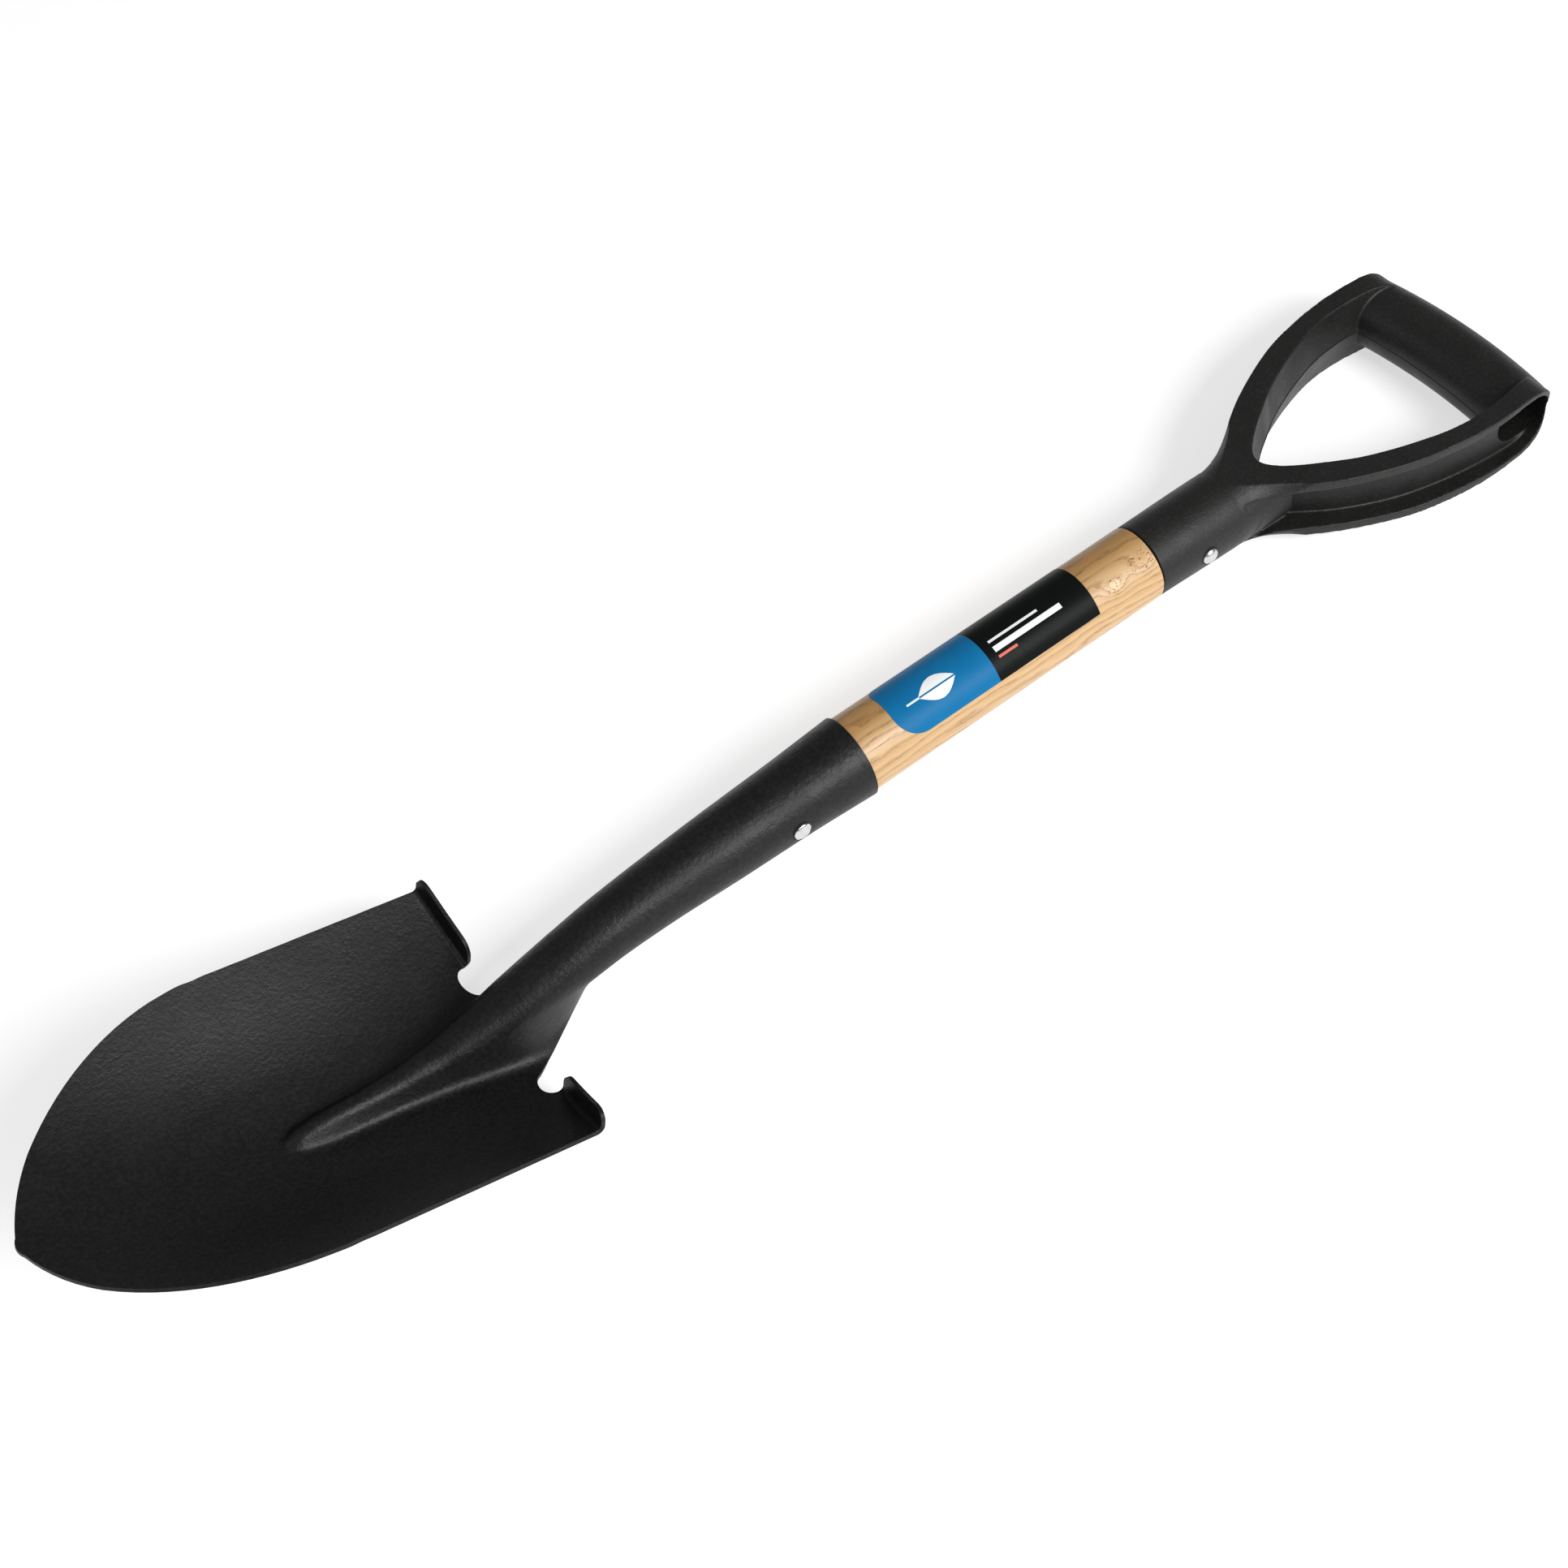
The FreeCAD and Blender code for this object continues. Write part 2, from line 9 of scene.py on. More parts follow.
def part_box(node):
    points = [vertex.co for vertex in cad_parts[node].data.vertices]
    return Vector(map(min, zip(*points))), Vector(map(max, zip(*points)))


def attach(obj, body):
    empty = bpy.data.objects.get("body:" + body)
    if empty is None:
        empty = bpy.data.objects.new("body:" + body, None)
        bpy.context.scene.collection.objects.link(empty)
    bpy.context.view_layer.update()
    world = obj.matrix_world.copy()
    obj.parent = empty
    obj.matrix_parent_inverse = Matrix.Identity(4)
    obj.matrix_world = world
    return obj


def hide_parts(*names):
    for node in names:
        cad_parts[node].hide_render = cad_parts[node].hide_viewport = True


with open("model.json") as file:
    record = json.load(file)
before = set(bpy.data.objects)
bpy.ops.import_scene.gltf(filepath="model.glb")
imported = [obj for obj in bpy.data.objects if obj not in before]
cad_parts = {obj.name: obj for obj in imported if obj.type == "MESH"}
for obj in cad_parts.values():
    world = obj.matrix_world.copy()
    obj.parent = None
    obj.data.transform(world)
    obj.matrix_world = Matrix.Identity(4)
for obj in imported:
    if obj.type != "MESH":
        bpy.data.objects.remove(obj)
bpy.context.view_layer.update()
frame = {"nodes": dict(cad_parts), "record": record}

MM = 0.001
scene = bpy.context.scene
nodes = frame["nodes"]

# The shaft's axis, from the mount on its bare stretch: all label and wood detail is laid out along it
BARE = next(m for m in frame["record"]["mounts"] if m["name"] == "shaft_clip_zone")
AXIS_POINT = Vector(BARE["pos_m"])
AXIS = Vector(BARE["axis"]).normalized()
AXIS_UP = AXIS.cross(Vector((0, 1, 0))).normalized()
AXIS_PITCH = math.atan2(-AXIS.z, AXIS.x)
SHAFT_R = BARE["dims"]["r_mm"]


# ---------------------------------------------------------------- camera, floor and light

CAMERA_PLACE = Vector((-0.22656, -0.42236, 0.70666))
CAMERA_TARGET = Vector((-0.02368, 0.00543, 0.030))
CAMERA_ROLL = math.radians(-13.398)
CAMERA_LENS = 50.27

# Area lights aimed at the middle of the shovel: place, width and height in metres, watts
LIGHTS = {
    "key": ((0.5, -1.5, 1.25), (1.2, 0.9), 44),
    "side": ((-1.6, 0.3, 1.1), (0.6, 1.2), 5),
}
WORLD_STRENGTH = 0.26
FLOOR_SIZE = 12
FLOOR_GLOW = 0.62            # the floor's own light, which keeps the shadows on it faint


def camera():
    data = bpy.data.cameras.new("camera")
    data.sensor_width = 36
    data.lens = CAMERA_LENS
    data.clip_start = 0.01
    data.clip_end = 50
    cam = bpy.data.objects.new("camera", data)
    scene.collection.objects.link(cam)
    look = (CAMERA_TARGET - CAMERA_PLACE).to_track_quat("-Z", "Y").to_matrix().to_4x4()
    cam.matrix_world = Matrix.Translation(CAMERA_PLACE) @ look @ Matrix.Rotation(CAMERA_ROLL, 4, "Z")
    scene.camera = cam


def area_light(name, place, size, power):
    data = bpy.data.lights.new(name, "AREA")
    data.shape = "RECTANGLE"
    data.size = size[0]
    data.size_y = size[1]
    data.energy = power
    lamp = bpy.data.objects.new(name, data)
    scene.collection.objects.link(lamp)
    lamp.location = place
    lamp.rotation_euler = (-Vector(place)).to_track_quat("-Z", "Y").to_euler()


def studio():
    camera()
    for name, (place, size, power) in LIGHTS.items():
        area_light(name, place, size, power)
    world = bpy.data.worlds.new("studio")
    scene.world = world
    world.use_nodes = True
    surroundings = world.node_tree.nodes["Background"]
    surroundings.inputs["Color"].default_value = (1, 1, 1, 1)
    surroundings.inputs["Strength"].default_value = WORLD_STRENGTH
    bpy.ops.mesh.primitive_plane_add(size=FLOOR_SIZE, location=(0, 0, 0))
    floor = bpy.context.object
    floor.name = "floor"
    table = Shader("floor", (0.6, 0.6, 0.6), 0.8)
    table.set("Emission Color", (1, 1, 1, 1))
    table.set("Emission Strength", FLOOR_GLOW)
    floor.data.materials.append(table.material)
    scene.view_settings.view_transform = "Standard"


# ---------------------------------------------------------------- shader building

class Shader:
    """A material on one Principled shader, with short calls for the nodes used here."""

    def __init__(self, name, colour, roughness, metallic=0.0):
        self.material = bpy.data.materials.new(name)
        self.material.use_nodes = True
        self.tree = self.material.node_tree
        self.skin = self.tree.nodes["Principled BSDF"]
        self.set("Base Color", (*colour, 1))
        self.set("Roughness", roughness)
        self.set("Metallic", metallic)
        self.place = self.tree.nodes.new("ShaderNodeTexCoord").outputs["Object"]

    def set(self, socket, value):
        """A value that is the same all over, or the output of a node."""
        if isinstance(value, bpy.types.NodeSocket):
            self.tree.links.new(value, self.skin.inputs[socket])
        else:
            self.skin.inputs[socket].default_value = value

    def fill(self, node, values):
        for socket, value in values.items():
            if isinstance(value, bpy.types.NodeSocket):
                self.tree.links.new(value, node.inputs[socket])
            else:
                node.inputs[socket].default_value = value
        return node

    def math(self, operation, *values):
        node = self.tree.nodes.new("ShaderNodeMath")
        node.operation = operation
        return self.fill(node, dict(enumerate(values))).outputs[0]

    def mapped(self, vector, scale):
        node = self.tree.nodes.new("ShaderNodeMapping")
        return self.fill(node, {"Vector": vector, "Scale": scale}).outputs[0]

    def noise(self, vector, scale, detail=2.0, roughness=0.5):
        node = self.tree.nodes.new("ShaderNodeTexNoise")
        values = {"Vector": vector, "Scale": scale, "Detail": detail, "Roughness": roughness}
        return self.fill(node, values).outputs["Fac"]

    def split(self, vector):
        node = self.tree.nodes.new("ShaderNodeSeparateXYZ")
        return self.fill(node, {0: vector}).outputs

    def step(self, value, low, high, out_low=0.0, out_high=1.0):
        """Smooth step from out_low at low to out_high at high."""
        node = self.tree.nodes.new("ShaderNodeMapRange")
        node.interpolation_type = "SMOOTHSTEP"
        return self.fill(node, {0: value, 1: low, 2: high, 3: out_low, 4: out_high}).outputs[0]

    def mix(self, share, a, b):
        node = self.tree.nodes.new("ShaderNodeMix")
        node.data_type = "RGBA"
        ends = [value if isinstance(value, bpy.types.NodeSocket) else (*value, 1) for value in (a, b)]
        return self.fill(node, {0: share, 6: ends[0], 7: ends[1]}).outputs[2]

    def bump(self, height, distance, strength=1.0):
        """Adds a bump, distance in metres, on top of the bumps already there."""
        node = self.tree.nodes.new("ShaderNodeBump")
        self.fill(node, {"Height": height, "Distance": distance, "Strength": strength})
        below = self.skin.inputs["Normal"].links
        if below:
            self.tree.links.new(below[0].from_socket, node.inputs["Normal"])
        self.set("Normal", node.outputs[0])

    def along_shaft(self):
        """Place in millimetres in the shaft's own frame: X along its axis, Z out of its top."""
        node = self.tree.nodes.new("ShaderNodeMapping")
        node.vector_type = "TEXTURE"
        values = {"Vector": self.place, "Location": AXIS_POINT, "Rotation": (0, AXIS_PITCH, 0),
                  "Scale": (MM, MM, MM)}
        return self.fill(node, values).outputs[0]


# ---------------------------------------------------------------- materials

def powder_coat():
    """Satin black powder coat: a fine crinkle, slightly uneven gloss."""
    s = Shader("powder_coat", (0.011, 0.0106, 0.0102), 0.42)
    crinkle = s.noise(s.place, 1500, 2.5, 0.6)
    coarse = s.noise(s.place, 620, 2, 0.6)
    wave = s.noise(s.place, 42, 2)
    shade = s.mix(s.step(coarse, 0.35, 0.68), (0.0030, 0.0029, 0.0028), (0.0085, 0.0081, 0.0078))
    s.set("Specular IOR Level", 0.3)
    s.set("Base Color", shade)
    gloss = s.step(s.noise(s.place, 60, 4, 0.6), 0.3, 0.7, 0.36, 0.45)
    s.set("Roughness", s.math("MULTIPLY_ADD", crinkle, 0.1, gloss))
    s.bump(wave, 0.0004, 0.25)
    s.bump(coarse, 0.00020, 0.8)
    s.bump(crinkle, 0.00010, 0.8)
    return s.material


def moulded_plastic():
    """Matt black polypropylene with a spark-eroded texture."""
    s = Shader("moulded_plastic", (0.008, 0.0078, 0.0074), 0.5)
    grain = s.noise(s.place, 1700, 2, 0.6)
    coarse = s.noise(s.place, 760, 2, 0.6)
    cloud = s.noise(s.place, 90, 3)
    shade = s.mix(cloud, (0.0052, 0.0051, 0.0048), (0.0088, 0.0086, 0.0081))
    s.set("Base Color", s.mix(s.step(coarse, 0.5, 0.72), shade, (0.0150, 0.0146, 0.0140)))
    s.set("Specular IOR Level", 0.36)
    s.set("Roughness", s.step(cloud, 0.3, 0.7, 0.44, 0.53))
    s.bump(s.noise(s.place, 110, 2), 0.0002, 0.2)
    s.bump(coarse, 0.00014, 0.7)
    s.bump(grain, 0.00010, 0.8)
    return s.material


# Knot and burl: mm along the shaft from its bare middle, mm round it from its top, half sizes
KNOT = (-4.7, -11.5, 5.0, 3.2)
BURL = (10.5, -9.0, 7.0, 4.5)
PITH_ASIDE = 34              # the tree's pith, mm beside and below the shaft's axis
PITH_BELOW = 26
RING_SLANT = 0.035           # how much the growth rings lean along the shaft
RING_PITCH = 3.6             # mm from ring to ring


def ash_wood():
    """Pale ash: growth rings cut at a slant, dark pores, a small knot close to the grip, and painted
    shade that darkens its +Y side.
    """
    s = Shader("ash_wood", (0.7, 0.48, 0.25), 0.42)
    here = s.along_shaft()
    x, y, z = s.split(here)

    def patch(centre_x, centre_s, long, wide):
        """1 at a spot on the surface, falling to 0 at its edge."""
        turn = centre_s / SHAFT_R
        dx = s.math("DIVIDE", s.math("SUBTRACT", x, centre_x), long)
        dy = s.math("DIVIDE", s.math("SUBTRACT", y, SHAFT_R * math.sin(turn)), wide)
        dz = s.math("DIVIDE", s.math("SUBTRACT", z, SHAFT_R * math.cos(turn)), wide)
        square = s.math("ADD", s.math("MULTIPLY", dx, dx), s.math("MULTIPLY", dy, dy))
        square = s.math("ADD", square, s.math("MULTIPLY", dz, dz))
        return s.math("EXPONENT", s.math("MULTIPLY", square, -1.0))

    knot = patch(*KNOT)
    burl = patch(*BURL)
    warp = s.noise(s.mapped(here, (0.016, 0.07, 0.07)), 1.0, 3, 0.55)
    fine_warp = s.noise(s.mapped(here, (0.09, 0.5, 0.5)), 1.0, 2)
    # Rings round a pith well outside the shaft, pushed aside by the knot and the burl
    across = s.math("ADD", y, PITH_ASIDE)
    depth = s.math("ADD", s.math("MULTIPLY_ADD", x, RING_SLANT, z), PITH_BELOW)
    radius = s.math("SQRT", s.math("ADD", s.math("MULTIPLY", across, across),
                                   s.math("MULTIPLY", depth, depth)))
    radius = s.math("MULTIPLY_ADD", warp, 13.0, radius)
    radius = s.math("MULTIPLY_ADD", fine_warp, 1.3, radius)
    radius = s.math("MULTIPLY_ADD", knot, 9.0, radius)
    radius = s.math("MULTIPLY_ADD", burl, 7.0, radius)
    ring = s.math("FRACT", s.math("DIVIDE", radius, RING_PITCH))
    early = s.math("MULTIPLY", s.step(ring, 0.0, 0.07), s.step(ring, 0.12, 0.42, 1.0, 0.0))
    late = s.step(ring, 0.45, 1.0)
    fibre = s.noise(s.mapped(here, (0.12, 7.0, 7.0)), 1.0, 3, 0.6)
    pore = s.noise(s.mapped(here, (0.28, 4.6, 4.6)), 1.0, 2, 0.5)
    dashes = s.math("MULTIPLY", s.step(pore, 0.56, 0.68), s.math("MULTIPLY_ADD", early, 0.95, 0.04))
    # Painted light and shade: the wood is lighter on its -Y side, where the key light falls, and
    # darker towards +Y. The border between them wanders with the warp noise.
    side = s.step(s.math("ADD", y, s.math("MULTIPLY", s.math("SUBTRACT", warp, 0.5), 16)), -13, 6)
    lit_side_wood = s.mix(fibre, (0.50, 0.300, 0.128), (0.66, 0.455, 0.250))
    shaded_side_wood = s.mix(fibre, (0.33, 0.155, 0.040), (0.49, 0.280, 0.098))
    colour = s.mix(side, lit_side_wood, shaded_side_wood)
    colour = s.mix(s.math("MULTIPLY", late, 0.36), colour, (0.40, 0.205, 0.055))
    colour = s.mix(s.math("MULTIPLY", early, 0.46), colour, (0.27, 0.125, 0.032))
    colour = s.mix(s.math("MULTIPLY", dashes, 0.85), colour, (0.17, 0.075, 0.022))
    scar = s.step(s.noise(s.mapped(here, (0.55, 1.0, 1.0)), 1.0, 4, 0.65), 0.42, 0.62)
    colour = s.mix(s.math("MULTIPLY", s.step(burl, 0.15, 0.9), s.math("MULTIPLY", scar, 0.55)),
                   colour, (0.50, 0.24, 0.05))
    colour = s.mix(s.math("MULTIPLY", s.step(knot, 0.5, 0.95), 0.5), colour, (0.80, 0.60, 0.36))
    pits = s.step(s.noise(s.mapped(here, (0.9, 1.6, 1.6)), 1.0, 2), 0.60, 0.66)
    near = s.step(s.math("MAXIMUM", knot, s.math("MULTIPLY", burl, 0.8)), 0.12, 0.5)
    pits = s.math("MULTIPLY", pits, near)
    colour = s.mix(s.math("MULTIPLY", pits, 0.9), colour, (0.10, 0.04, 0.012))
    s.set("Base Color", colour)
    s.set("Roughness", s.math("MULTIPLY_ADD", dashes, 0.25, s.step(fibre, 0.3, 0.7, 0.38, 0.46)))
    s.set("Coat Weight", 0.12)
    s.set("Coat Roughness", 0.25)
    hollow = s.math("ADD", s.math("MULTIPLY", dashes, -0.6), s.math("MULTIPLY", pits, -1.0))
    s.bump(s.math("MULTIPLY_ADD", fibre, 0.35, hollow), 0.00012, 0.8)
    return s.material


def zinc_steel():
    s = Shader("zinc_steel", (0.66, 0.66, 0.67), 0.24, 1.0)
    cloud = s.noise(s.place, 700, 3, 0.6)
    s.set("Base Color", s.mix(cloud, (0.52, 0.52, 0.53), (0.74, 0.74, 0.75)))
    s.set("Roughness", s.step(cloud, 0.3, 0.7, 0.2, 0.34))
    s.bump(s.noise(s.place, 420, 2), 0.00012, 0.35)
    return s.material


def gap_shadow():
    """Painted shade: a dark, rough surface for the shadowed gap round a rivet head."""
    s = Shader("gap_shadow", (0.006, 0.006, 0.006), 0.8)
    s.set("Roughness", s.step(s.noise(s.place, 900, 2), 0.3, 0.7, 0.7, 0.95))
    s.bump(s.noise(s.place, 1500, 2), 0.00006, 0.5)
    return s.material


LABEL_SPLIT = 45.0           # where the label's blue end meets its black end, mm from its start
SPLIT_SOFT = 0.06


def printed_film(label_start):
    """Satin printed film, blue for about half its length and near-black beyond."""
    s = Shader("printed_film", (0.01, 0.16, 0.45), 0.3)
    here = s.along_shaft()
    x = s.split(here)[0]
    split = label_start + LABEL_SPLIT
    dark = s.step(x, split - SPLIT_SOFT, split + SPLIT_SOFT)
    tone = s.noise(here, 0.09, 2)
    blue = s.mix(tone, (0.004, 0.130, 0.310), (0.008, 0.160, 0.365))
    black = s.mix(tone, (0.0030, 0.0040, 0.0038), (0.0050, 0.0066, 0.0062))
    s.set("Base Color", s.mix(dark, blue, black))
    s.set("Specular IOR Level", 0.07)
    s.set("Roughness", s.step(s.noise(here, 1.6, 3, 0.6), 0.3, 0.7, 0.34, 0.42))
    s.bump(s.noise(here, 0.5, 2), 0.00005, 0.25)
    s.bump(s.noise(here, 5.0, 2), 0.00001, 0.4)
    return s.material


def print_ink(name, colour):
    s = Shader(name, colour, 0.38)
    worn = s.noise(s.along_shaft(), 3.0, 3, 0.6)
    faded = tuple(value * 0.86 for value in colour)
    s.set("Base Color", s.mix(s.step(worn, 0.35, 0.65), faded, colour))
    s.set("Roughness", s.step(worn, 0.3, 0.7, 0.33, 0.42))
    s.bump(worn, 0.00001, 0.4)
    return s.material


# ---------------------------------------------------------------- pieces

def new_piece(name, mesh, slot, *materials):
    piece = bpy.data.objects.new(name, mesh)
    scene.collection.objects.link(piece)
    for material in materials:
        mesh.materials.append(material)
    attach(piece, "root")
    return piece


def apply_modifiers(piece):
    depsgraph = bpy.context.evaluated_depsgraph_get()
    mesh = bpy.data.meshes.new_from_object(piece.evaluated_get(depsgraph))
    piece.modifiers.clear()
    piece.data = mesh


WELD = 0.002 * MM            # vertices closer than this are one


def copied_mesh(node):
    mesh = nodes[node].data.copy()
    mesh.materials.clear()
    bm = bmesh.new()
    bm.from_mesh(mesh)
    bmesh.ops.remove_doubles(bm, verts=bm.verts, dist=WELD)
    bmesh.ops.dissolve_degenerate(bm, edges=bm.edges, dist=WELD)
    bm.to_mesh(mesh)
    bm.free()
    return mesh


def smooth_faces(mesh):
    mesh.polygons.foreach_set("use_smooth", [True] * len(mesh.polygons))


HEAD_EDGE = 0.32             # rounding of the sheet's cut edges, mm
HEAD_CREASE = math.radians(40)   # an edge bent more than this is a cut edge


def head_piece(material):
    """The pressed head, its cut edges rounded over under the powder coat."""
    piece = new_piece("coated_head", copied_mesh("head"), "coated_steel", material)
    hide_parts("head")
    smooth_faces(piece.data)
    piece.data.set_sharp_from_angle(angle=HEAD_CREASE)
    round_over = piece.modifiers.new("round_over", "BEVEL")
    round_over.width = HEAD_EDGE * MM
    round_over.segments = 2
    round_over.limit_method = "ANGLE"
    round_over.angle_limit = HEAD_CREASE
    even_out = piece.modifiers.new("even_out", "WEIGHTED_NORMAL")
    even_out.keep_sharp = False
    apply_modifiers(piece)
    return piece


GRIP_VOXEL = 0.45            # mesh size of the softened grip, mm
GRIP_ROUNDS = 3              # rounds of smoothing over its edges


def grip_piece(material):
    """The moulded D-grip, all its edges softened as a moulding's are."""
    piece = new_piece("moulded_grip", copied_mesh("d_grip"), "black_plastic", material)
    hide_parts("d_grip")
    remesh = piece.modifiers.new("remesh", "REMESH")
    remesh.mode = "VOXEL"
    remesh.voxel_size = GRIP_VOXEL * MM
    soften = piece.modifiers.new("soften", "SMOOTH")
    soften.factor = 0.5
    soften.iterations = GRIP_ROUNDS
    apply_modifiers(piece)
    smooth_faces(piece.data)
    return piece


HAND_OPENING = (0.2, 0.32)   # the hand opening lies between these along X, m
GRIP_PITCH = math.radians(1.35)  # the grip leans this much further down than the shaft
FLASH = [(-0.26, -0.5), (-0.2, 0.1), (0, 0.2), (0.2, 0.1), (0.26, -0.5)]  # across and proud, mm
FLASH_STEP = 0.05 * MM       # shorter steps along the flash line are left out


def loops_of(edges):
    """The closed loops in a set of edges, each as a list of places."""
    joined = {}
    for edge in edges:
        a, b = edge.verts
        joined.setdefault(a, []).append(b)
        joined.setdefault(b, []).append(a)
    loops = []
    while joined:
        vert = next(iter(joined))
        loop = []
        while vert is not None:
            loop.append(vert.co.copy())
            onward = joined.pop(vert)
            vert = next((other for other in onward if other in joined), None)
        loops.append(loop)
    return loops


def flash_piece(material):
    """Flash line round the inside of the hand opening, where the halves of the mould met."""
    mouth = AXIS_POINT + AXIS * ((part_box("d_grip")[0][0] - AXIS_POINT.x) / AXIS.x)
    up = Matrix.Rotation(GRIP_PITCH, 3, "Y") @ AXIS_UP
    bm = bmesh.new()
    bm.from_mesh(copied_mesh("d_grip"))
    cut = bmesh.ops.bisect_plane(bm, geom=bm.verts[:] + bm.edges[:] + bm.faces[:], dist=1e-7,
                                 plane_co=mouth, plane_no=up)
    loops = loops_of([item for item in cut["geom_cut"] if isinstance(item, bmesh.types.BMEdge)])
    bm.free()
    start, end = HAND_OPENING
    path = next(loop for loop in loops
                if min(p.x for p in loop) > start and max(p.x for p in loop) < end)
    path = [p for p, q in zip(path, path[1:] + path[:1]) if (q - p).length > FLASH_STEP]
    centre = sum(path, Vector()) / len(path)
    bm = bmesh.new()
    rings = []
    for before, here, after in zip(path[-1:] + path, path, path[1:] + path[:1]):
        inward = up.cross(after - before).normalized()
        if inward.dot(centre - here) < 0:
            inward.negate()
        rings.append([bm.verts.new(here + (up * across + inward * proud) * MM)
                      for across, proud in FLASH])
    for a, b in zip(rings, rings[1:] + rings[:1]):
        for i in range(len(FLASH)):
            j = (i + 1) % len(FLASH)
            bm.faces.new((a[i], a[j], b[j], b[i]))
    bmesh.ops.recalc_face_normals(bm, faces=bm.faces)
    mesh = bpy.data.meshes.new("grip_flash_line")
    bm.to_mesh(mesh)
    bm.free()
    return new_piece("grip_flash_line", mesh, "black_plastic", material)


# Radius and height of the heads, how uneven they are, all mm, and a seed for the unevenness
RIVETS = {
    "socket_rivet": (3.9, 1.4, 0.28, 3.0),
    "grip_rivet": (3.7, 1.9, 0.05, 9.0),
}
RIVET_TURNS = 48             # sides of a rivet's round shapes
DOME_STEPS = 12              # rings over its dome
DOME_CAP = 0.4               # a small flat is left on top, this part of a step


def lathe(profile, lump=None):
    """Rings of (radius, height) about +Z, closed at both ends; lump(angle, r) shifts heights."""
    bm = bmesh.new()
    rings = []
    for radius, height in profile:
        ring = []
        for i in range(RIVET_TURNS):
            angle = 2 * math.pi * i / RIVET_TURNS
            extra = lump(angle, radius) if lump else 0.0
            ring.append(bm.verts.new((radius * math.cos(angle), radius * math.sin(angle),
                                      height + extra)))
        rings.append(ring)
    for low, high in zip(rings, rings[1:]):
        for i in range(RIVET_TURNS):
            j = (i + 1) % RIVET_TURNS
            bm.faces.new((low[i], low[j], high[j], high[i]))
    bm.faces.new(rings[-1])
    bm.faces.new(list(reversed(rings[0])))
    return bm


def dome(head_r, head_h):
    """Profile of a rivet head from below its seat, over its rim, to the top."""
    sink = 1.2
    shank_r = 2.2
    ball = (head_r ** 2 + head_h ** 2) / (2 * head_h)
    half = math.asin(head_r / ball)
    points = [(shank_r, -sink), (head_r * 0.96, -sink), (head_r, -sink * 0.7), (head_r, -0.05)]
    for i in range(1, DOME_STEPS + 1):
        angle = half * (1 - i / (DOME_STEPS + DOME_CAP))
        points.append((ball * math.sin(angle), head_h - ball * (1 - math.cos(angle))))
    return points


def shade_rim(head_r):
    """Profile of the thin ring of painted shade that shows round a rivet head."""
    out = head_r + 0.45
    return [(head_r - 0.3, -1.1), (out, -0.9), (out, 0.02), (head_r - 0.1, 0.06)]


def rivet_piece(node, steel, shade):
    """Both heads of a rivet, hammered a little uneven, with a ring of painted shade round each."""
    name = node + "_heads"
    head_r, head_h, uneven, seed = RIVETS[node]
    low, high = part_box(node)
    centre = (Vector(low) + Vector(high)) / 2
    half = (high[1] - low[1]) / 2 / MM
    mesh = bpy.data.meshes.new(name)
    whole = bmesh.new()
    for side in (1, -1):
        def lump(angle, radius):
            spot = Vector((radius * math.cos(angle), radius * math.sin(angle), seed + side))
            return uneven * (noise.noise(spot * 0.55) + 0.5 * noise.noise(spot * 1.4))

        turn = Matrix.Rotation(math.radians(-90 * side), 4, "X")
        seat = Matrix.Translation(centre + Vector((0, side * (half - head_h) * MM, 0)))
        place = seat @ turn @ Matrix.Scale(MM, 4)
        for profile, index, shape in ((dome(head_r, head_h), 0, lump), (shade_rim(head_r), 1, None)):
            part = lathe(profile, shape)
            for face in part.faces:
                face.material_index = index
                face.smooth = True
            part.transform(place)
            scratch = bpy.data.meshes.new("scratch")
            part.to_mesh(scratch)
            whole.from_mesh(scratch)
            bpy.data.meshes.remove(scratch)
            part.free()
    whole.to_mesh(mesh)
    whole.free()
    piece = new_piece(name, mesh, "bright_steel", steel, shade)
    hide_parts(node)
    return piece


# Printed marks: closed wafers that follow the shaft, each a run of rows (round, start, end)

MARK_SEAT = 0.10             # underside and face of a mark, mm above the shaft's surface
MARK_FACE = 0.175
# Middle round the shaft from its top, start from the film's own start, length, height, mm
LEAF = (-5.2, 12.6, 18.0, 5.0)
LEAF_VEIN = 0.35             # half the gap left along the leaf's middle
STEM = (-5.2, 7.2, 6.0, 0.8)
WHITE_BARS = [(-2.2, 49.0, 24.0, 1.1), (-5.9, 49.0, 33.0, 2.4)]
ORANGE_BAR = (-9.2, 49.0, 9.0, 1.1)
WHITE, ORANGE = 0, 1         # material slots of the marks


def on_shaft(x, s, height):
    """Place x mm along the shaft from its bare middle, s mm round it from its top."""
    turn = s / SHAFT_R
    out = AXIS_UP * math.cos(turn) + Vector((0, 1, 0)) * math.sin(turn)
    return AXIS_POINT + AXIS * (x * MM) + out * ((SHAFT_R + height) * MM)


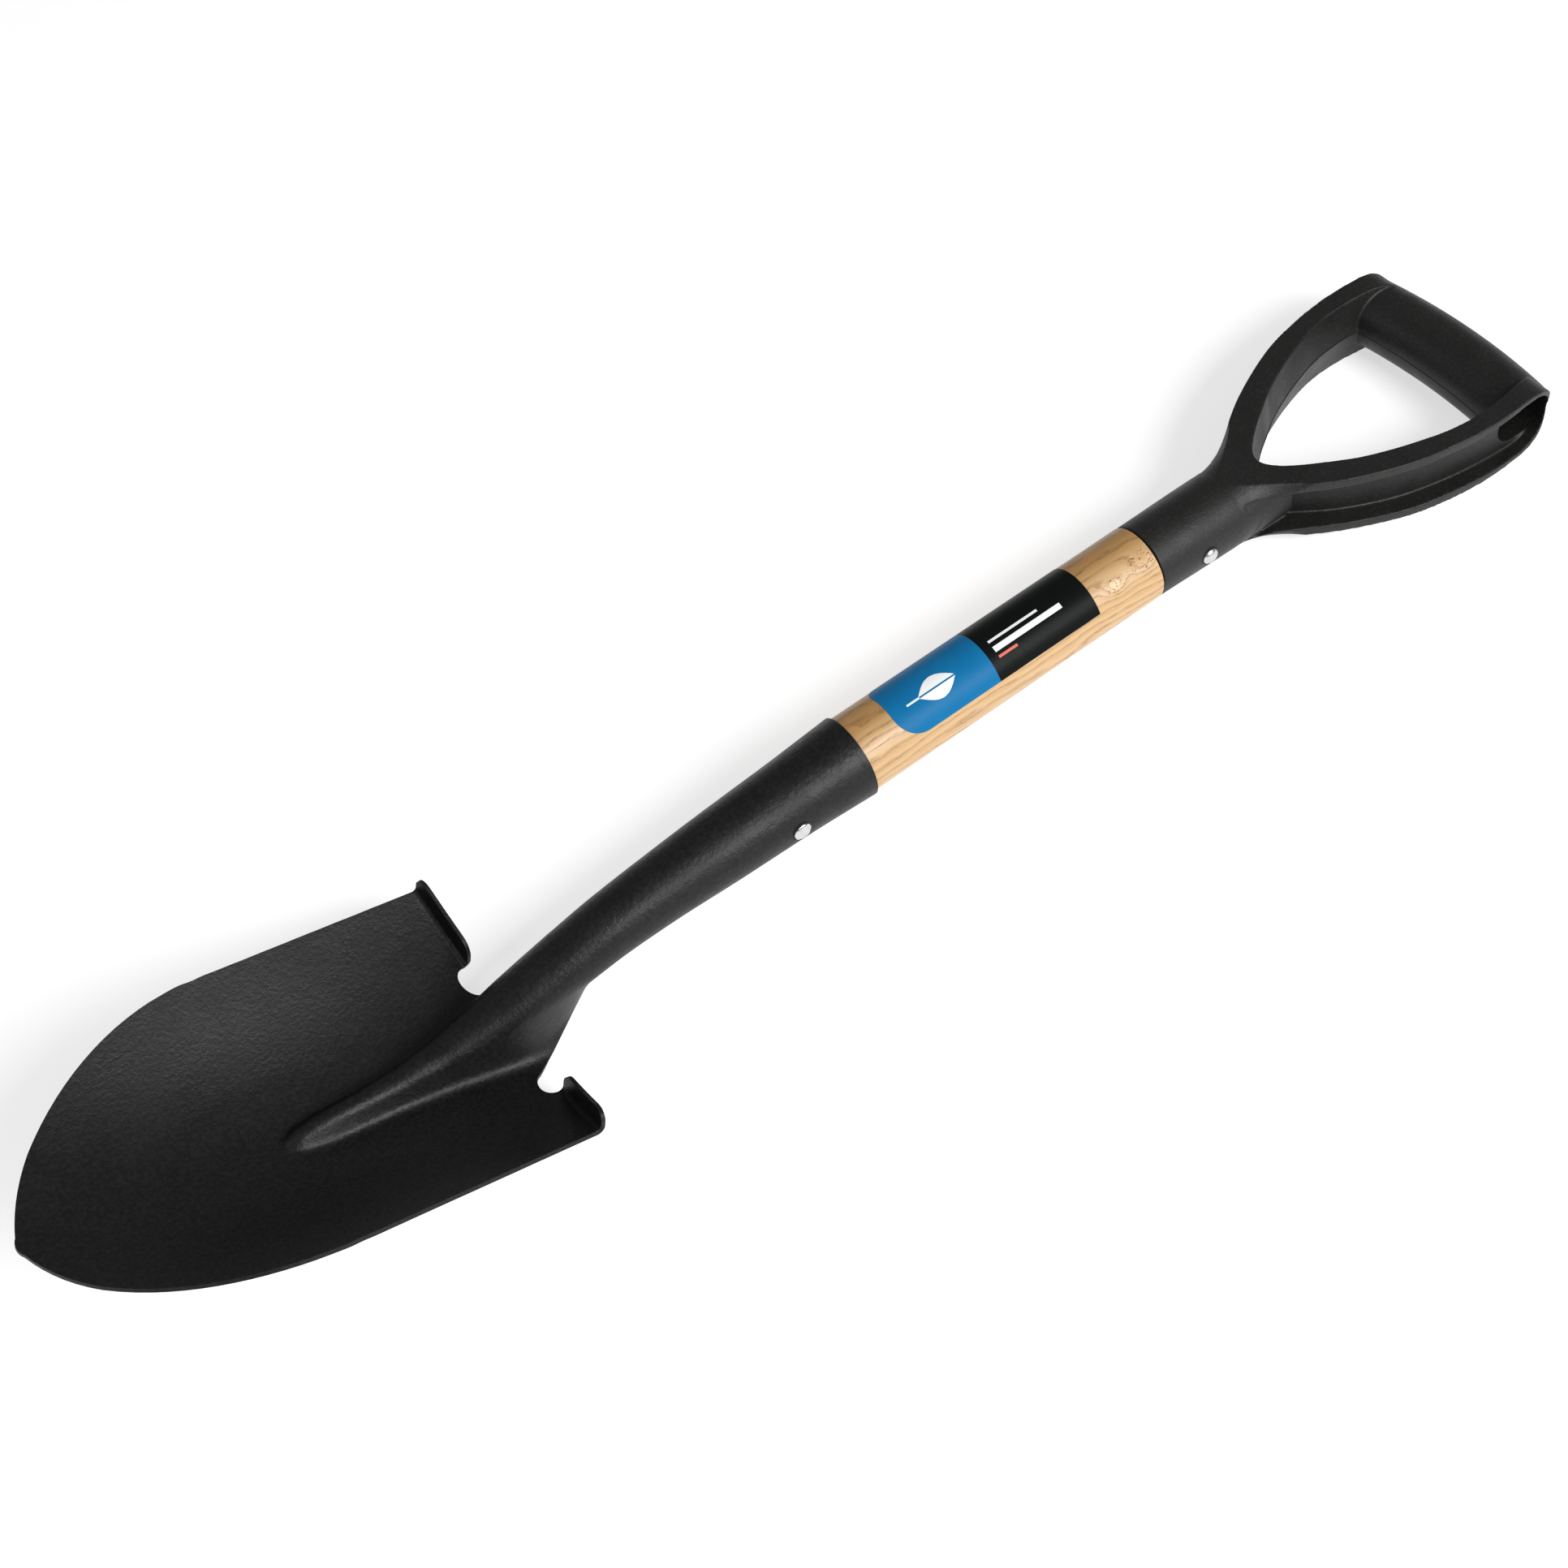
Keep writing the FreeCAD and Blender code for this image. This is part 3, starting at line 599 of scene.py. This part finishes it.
def wafer(bm, rows, index):
    loops = []
    for s, start, end in rows:
        corners = ((start, MARK_SEAT), (end, MARK_SEAT), (end, MARK_FACE), (start, MARK_FACE))
        loops.append([bm.verts.new(on_shaft(x, s, height)) for x, height in corners])
    faces = [bm.faces.new(loops[0]), bm.faces.new(list(reversed(loops[-1])))]
    for a, b in zip(loops, loops[1:]):
        for i in range(4):
            j = (i + 1) % 4
            faces.append(bm.faces.new((a[j], a[i], b[i], b[j])))
    for face in faces:
        face.material_index = index


def bar_rows(film_start, bar):
    s, start, length, height = bar
    count = 6
    start += film_start
    return [(s - height / 2 + height * i / count, start, start + length) for i in range(count + 1)]


def leaf_rows(film_start, side):
    """Half of the leaf, on one side of its vein."""
    s, start, length, height = LEAF
    rows = []
    count = 12
    start += film_start
    widest = height * 0.995 + LEAF_VEIN * 0.005  # just short of the edge, so the last row has a length
    for i in range(count + 1):
        away = LEAF_VEIN + (widest - LEAF_VEIN) * i / count
        inset = math.asin(away / height) / math.pi * length
        rows.append((s + side * away, start + inset, start + length - inset))
    return rows


def label_marks(film_start, white, orange):
    bm = bmesh.new()
    for side in (1, -1):
        wafer(bm, leaf_rows(film_start, side), WHITE)
    for bar in [STEM] + WHITE_BARS:
        wafer(bm, bar_rows(film_start, bar), WHITE)
    wafer(bm, bar_rows(film_start, ORANGE_BAR), ORANGE)
    bmesh.ops.recalc_face_normals(bm, faces=bm.faces)
    mesh = bpy.data.meshes.new("label_marks")
    bm.to_mesh(mesh)
    bm.free()
    return new_piece("label_marks", mesh, "printed_film", white, orange)


def build():
    coat = powder_coat()
    plastic = moulded_plastic()
    steel = zinc_steel()
    shade = gap_shadow()
    head_piece(coat)
    grip_piece(plastic)
    flash_piece(plastic)
    nodes["shaft"].data.materials.clear()
    nodes["shaft"].data.materials.append(ash_wood())
    label_start = (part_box("label")[0][0] - AXIS_POINT.x) / MM / AXIS.x
    nodes["label"].data.materials.clear()
    nodes["label"].data.materials.append(printed_film(label_start))
    label_marks(label_start, print_ink("white_ink", (0.86, 0.87, 0.88)),
                print_ink("orange_ink", (0.62, 0.075, 0.03)))
    for node in RIVETS:
        rivet_piece(node, steel, shade)


studio()
build()
